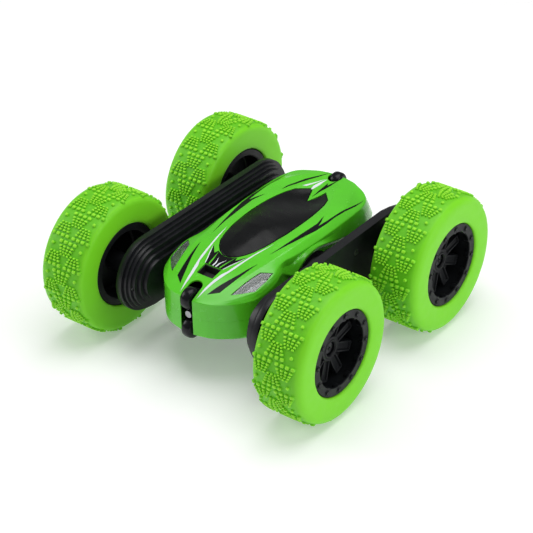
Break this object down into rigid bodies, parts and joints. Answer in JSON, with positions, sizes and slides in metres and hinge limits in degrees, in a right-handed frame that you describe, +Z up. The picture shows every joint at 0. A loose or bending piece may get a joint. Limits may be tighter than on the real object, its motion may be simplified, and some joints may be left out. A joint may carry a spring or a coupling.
{
  "type": "rc stunt car",
  "caption": "Flat two-sided radio-controlled stunt car: green body between turning black arms, each with a studded green tyre at both ends.",
  "frame": {"origin": "on the ground, below the middle of the car", "axes": "+X forward, +Y to the car's left, +Z up; the wheels and arms turn about Y at axle height"},
  "size_m": [0.148, 0.14, 0.065],
  "materials": {
    "body_green": "glossy moulded",
    "canopy_black": "semi-gloss",
    "tyre_green": "soft matt",
    "rim_black": "satin",
    "arm_black": "satin",
    "chassis_plastic": "satin",
    "bumper_black": "satin",
    "lens_clear": "clear",
    "lamp_white": "milky",
    "screw_steel": "bright",
    "shaft_steel": "ground",
    "gear_nylon": "satin",
    "pinion_brass": "turned",
    "motor_steel": "plated",
    "battery_wrap": "shrink wrap",
    "board_green": "lacquered",
    "switch_black": "satin"
  },
  "bodies": {
    "body": {"chassis": "chassis_plastic", "upper_shell": "body_green", "lower_shell": "body_green", "upper_canopy": "canopy_black", "battery_door": "canopy_black", "battery_door_screw": "screw_steel", "headlight_lenses": "lens_clear", "headlight_lamps": "lamp_white", "bumpers": "bumper_black", "shell_screws": "screw_steel", "battery_pack": "battery_wrap", "circuit_board": "board_green", "drive_motors": "motor_steel", "reduction_gear_pins": "shaft_steel", "switch_body": "switch_black"},
    "switch": {"switch_knob": "switch_black"},
    "left_arm": {"left_arm_inner_case": "arm_black", "left_arm_outer_case": "arm_black", "left_arm_screws": "screw_steel", "left_idler_pins": "shaft_steel"},
    "left_front_wheel": {"left_front_tyre": "tyre_green", "left_front_rim": "rim_black", "left_front_axle": "shaft_steel", "left_front_wheel_gear": "gear_nylon", "left_front_hub_screw": "screw_steel"},
    "left_front_idler": {"left_front_idler": "gear_nylon"},
    "left_rear_wheel": {"left_rear_tyre": "tyre_green", "left_rear_rim": "rim_black", "left_rear_axle": "shaft_steel", "left_rear_wheel_gear": "gear_nylon", "left_rear_hub_screw": "screw_steel"},
    "left_rear_idler": {"left_rear_idler": "gear_nylon"},
    "left_drive": {"left_drive_shaft": "shaft_steel", "left_sun_gear": "gear_nylon", "left_drive_gear": "gear_nylon"},
    "left_reduction": {"left_reduction_gear": "gear_nylon"},
    "left_rotor": {"left_motor_shaft": "shaft_steel", "left_motor_pinion": "pinion_brass"},
    "right_arm": {"right_arm_inner_case": "arm_black", "right_arm_outer_case": "arm_black", "right_arm_screws": "screw_steel", "right_idler_pins": "shaft_steel"},
    "right_front_wheel": {"right_front_tyre": "tyre_green", "right_front_rim": "rim_black", "right_front_axle": "shaft_steel", "right_front_wheel_gear": "gear_nylon", "right_front_hub_screw": "screw_steel"},
    "right_front_idler": {"right_front_idler": "gear_nylon"},
    "right_rear_wheel": {"right_rear_tyre": "tyre_green", "right_rear_rim": "rim_black", "right_rear_axle": "shaft_steel", "right_rear_wheel_gear": "gear_nylon", "right_rear_hub_screw": "screw_steel"},
    "right_rear_idler": {"right_rear_idler": "gear_nylon"},
    "right_drive": {"right_drive_shaft": "shaft_steel", "right_sun_gear": "gear_nylon", "right_drive_gear": "gear_nylon"},
    "right_reduction": {"right_reduction_gear": "gear_nylon"},
    "right_rotor": {"right_motor_shaft": "shaft_steel", "right_motor_pinion": "pinion_brass"}
  },
  "joints": [
    {"name": "power_switch_slide", "type": "slide", "parent": "body", "child": "switch", "axis": [1, 0, 0], "range_m": [0, 0.002]},
    {"name": "left_arm_turn", "type": "hinge", "parent": "body", "child": "left_arm", "pos_m": [0, 0.0249, 0.0325], "axis": [0, 1, 0], "continuous": true},
    {"name": "left_front_wheel_spin", "type": "hinge", "parent": "left_arm", "child": "left_front_wheel", "pos_m": [0.0415, 0.058, 0.0325], "axis": [0, 1, 0], "continuous": true},
    {"name": "left_front_idler_spin", "type": "hinge", "parent": "left_arm", "child": "left_front_idler", "pos_m": [0.0215, 0.0335, 0.0325], "axis": [0, 1, 0], "continuous": true},
    {"name": "left_rear_wheel_spin", "type": "hinge", "parent": "left_arm", "child": "left_rear_wheel", "pos_m": [-0.0415, 0.058, 0.0325], "axis": [0, 1, 0], "continuous": true},
    {"name": "left_rear_idler_spin", "type": "hinge", "parent": "left_arm", "child": "left_rear_idler", "pos_m": [-0.0215, 0.0335, 0.0325], "axis": [0, 1, 0], "continuous": true},
    {"name": "left_drive_spin", "type": "hinge", "parent": "left_arm", "child": "left_drive", "pos_m": [0, 0.0335, 0.0325], "axis": [0, 1, 0], "continuous": true},
    {"name": "left_reduction_spin", "type": "hinge", "parent": "body", "child": "left_reduction", "pos_m": [0.0136, 0.0168, 0.0325], "axis": [0, 1, 0], "continuous": true},
    {"name": "left_rotor_spin", "type": "hinge", "parent": "body", "child": "left_rotor", "pos_m": [0.028, 0.0168, 0.0325], "axis": [0, 1, 0], "continuous": true},
    {"name": "right_arm_turn", "type": "hinge", "parent": "body", "child": "right_arm", "pos_m": [0, -0.0249, 0.0325], "axis": [0, 1, 0], "continuous": true},
    {"name": "right_front_wheel_spin", "type": "hinge", "parent": "right_arm", "child": "right_front_wheel", "pos_m": [0.0415, -0.058, 0.0325], "axis": [0, 1, 0], "continuous": true},
    {"name": "right_front_idler_spin", "type": "hinge", "parent": "right_arm", "child": "right_front_idler", "pos_m": [0.0215, -0.0335, 0.0325], "axis": [0, 1, 0], "continuous": true},
    {"name": "right_rear_wheel_spin", "type": "hinge", "parent": "right_arm", "child": "right_rear_wheel", "pos_m": [-0.0415, -0.058, 0.0325], "axis": [0, 1, 0], "continuous": true},
    {"name": "right_rear_idler_spin", "type": "hinge", "parent": "right_arm", "child": "right_rear_idler", "pos_m": [-0.0215, -0.0335, 0.0325], "axis": [0, 1, 0], "continuous": true},
    {"name": "right_drive_spin", "type": "hinge", "parent": "right_arm", "child": "right_drive", "pos_m": [0, -0.0335, 0.0325], "axis": [0, 1, 0], "continuous": true},
    {"name": "right_reduction_spin", "type": "hinge", "parent": "body", "child": "right_reduction", "pos_m": [-0.0136, -0.0168, 0.0325], "axis": [0, 1, 0], "continuous": true},
    {"name": "right_rotor_spin", "type": "hinge", "parent": "body", "child": "right_rotor", "pos_m": [-0.028, -0.0168, 0.0325], "axis": [0, 1, 0], "continuous": true}
  ],
  "couplings": [
    {"joint": "left_front_idler_spin", "follows": "left_front_wheel_spin", "ratio": -1},
    {"joint": "left_rear_idler_spin", "follows": "left_front_wheel_spin", "ratio": -1},
    {"joint": "left_rear_wheel_spin", "follows": "left_front_wheel_spin", "ratio": 1},
    {"joint": "left_drive_spin", "follows": "left_front_wheel_spin", "ratio": 0.86957},
    {"joint": "left_rotor_spin", "follows": "left_reduction_spin", "ratio": -2.6},
    {"joint": "right_front_idler_spin", "follows": "right_front_wheel_spin", "ratio": -1},
    {"joint": "right_rear_idler_spin", "follows": "right_front_wheel_spin", "ratio": -1},
    {"joint": "right_rear_wheel_spin", "follows": "right_front_wheel_spin", "ratio": 1},
    {"joint": "right_drive_spin", "follows": "right_front_wheel_spin", "ratio": 0.86957},
    {"joint": "right_rotor_spin", "follows": "right_reduction_spin", "ratio": -2.6}
  ]
}
